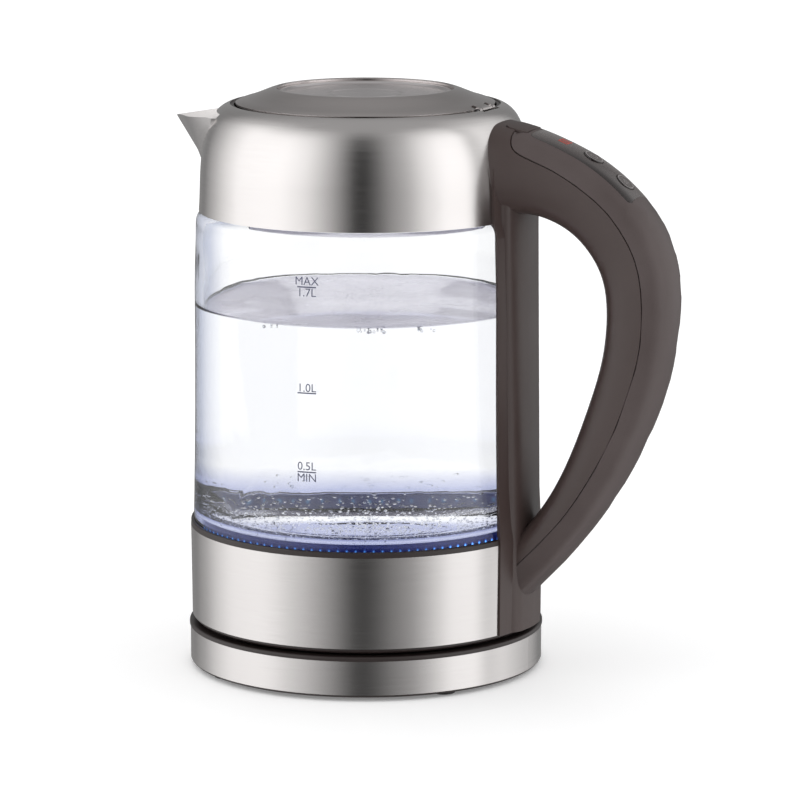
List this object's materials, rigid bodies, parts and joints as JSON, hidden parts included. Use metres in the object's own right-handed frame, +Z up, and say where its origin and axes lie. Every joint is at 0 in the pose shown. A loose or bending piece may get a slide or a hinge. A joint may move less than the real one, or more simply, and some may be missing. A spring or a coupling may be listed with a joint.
{
  "type": "electric kettle",
  "caption": "Glass jug kettle with brushed steel collars, hinged steel lid, curved black handle with a touch panel, standing on a round power base.",
  "frame": {"origin": "on the jug's own vertical axis, at the level of the soles of the four feet", "axes": "+Z up, +X from the jug axis towards the handle, -X towards the spout, +Y towards the cord entry of the base"},
  "size_m": [0.2372, 0.1589, 0.2555],
  "materials": {
    "brushed_steel": "brushed along the circumference, satin",
    "lid_steel": "satin",
    "black_plastic": "fine satin moulded surface",
    "gloss_black": "polished",
    "clear_glass": "clear and polished",
    "silicone": "soft matte",
    "black_rubber": "matte",
    "light_guide": "frosted blue light guide",
    "aluminium": "cast, matte",
    "brass": "satin",
    "screw_steel": "satin",
    "board_green": "solder mask",
    "cable": "matte sleeve"
  },
  "bodies": {
    "power_base": {"base_bottom_cover": "black_plastic", "base_skirt_ring": "brushed_steel", "base_top_shell": "black_plastic", "base_screws": "screw_steel", "base_feet": "black_rubber", "cord_gland": "black_plastic", "base_connector": "black_plastic", "base_contacts": "brass"},
    "coupler": {"kettle_connector": "black_plastic", "kettle_contacts": "brass"},
    "jug": {"underside_cover": "black_plastic", "underside_screws": "screw_steel", "lower_collar": "brushed_steel", "collar_trim_ring": "black_plastic", "glass_body": "clear_glass", "lower_gasket": "silicone", "heater_plate": "brushed_steel", "led_ring": "light_guide", "heat_spreader": "aluminium", "heating_element": "aluminium", "temperature_sensor": "screw_steel", "power_board": "board_green", "upper_collar": "brushed_steel", "upper_gasket": "silicone", "neck_ring": "black_plastic", "spout": "brushed_steel", "filter_frame": "black_plastic", "filter_mesh": "brushed_steel", "lid_hinge_bracket": "screw_steel", "handle_spine": "black_plastic", "handle_inner": "black_plastic", "handle_outer": "black_plastic", "control_panel": "gloss_black", "display_module": "gloss_black", "control_board": "board_green", "lid_button_spring": "screw_steel", "handle_screws": "screw_steel", "wiring_loom": "cable"},
    "lid": {"lid_outer_shell": "lid_steel", "lid_top_disc": "lid_steel", "lid_inner_cover": "black_plastic", "lid_gasket": "silicone", "lid_hinge_pin": "screw_steel"},
    "power_key": {"power_button": "gloss_black"},
    "mode_key": {"mode_button": "gloss_black"},
    "lid_key": {"lid_button": "black_plastic"},
    "latch": {"lid_latch": "brushed_steel"}
  },
  "joints": [
    {"name": "jug_lift", "type": "slide", "parent": "power_base", "child": "coupler", "axis": [0, 0, 1], "range_m": [0, 0.15]},
    {"name": "jug_swivel", "type": "hinge", "parent": "coupler", "child": "jug", "pos_m": [0, 0, 0.021], "axis": [0, 0, 1], "continuous": true},
    {"name": "lid_hinge", "type": "hinge", "parent": "jug", "child": "lid", "pos_m": [0.0565, 0, 0.2486], "axis": [0, 1, 0], "range_deg": [0, 80]},
    {"name": "power_button_press", "type": "slide", "parent": "jug", "child": "power_key", "axis": [-0.4772, 0, -0.8788], "range_m": [0, 0.0006], "stiffness_N_per_m": 800, "springref_m": -0.001},
    {"name": "mode_button_press", "type": "slide", "parent": "jug", "child": "mode_key", "axis": [-0.6428, 0, -0.766], "range_m": [0, 0.0006], "stiffness_N_per_m": 800, "springref_m": -0.001},
    {"name": "lid_button_press", "type": "slide", "parent": "jug", "child": "lid_key", "axis": [0, 0, -1], "range_m": [0, 0.003], "stiffness_N_per_m": 300, "springref_m": -0.003},
    {"name": "lid_latch_slide", "type": "slide", "parent": "jug", "child": "latch", "axis": [1, 0, 0], "range_m": [0, 0.003]}
  ],
  "couplings": [
    {"joint": "lid_latch_slide", "follows": "lid_button_press", "ratio": 1}
  ]
}
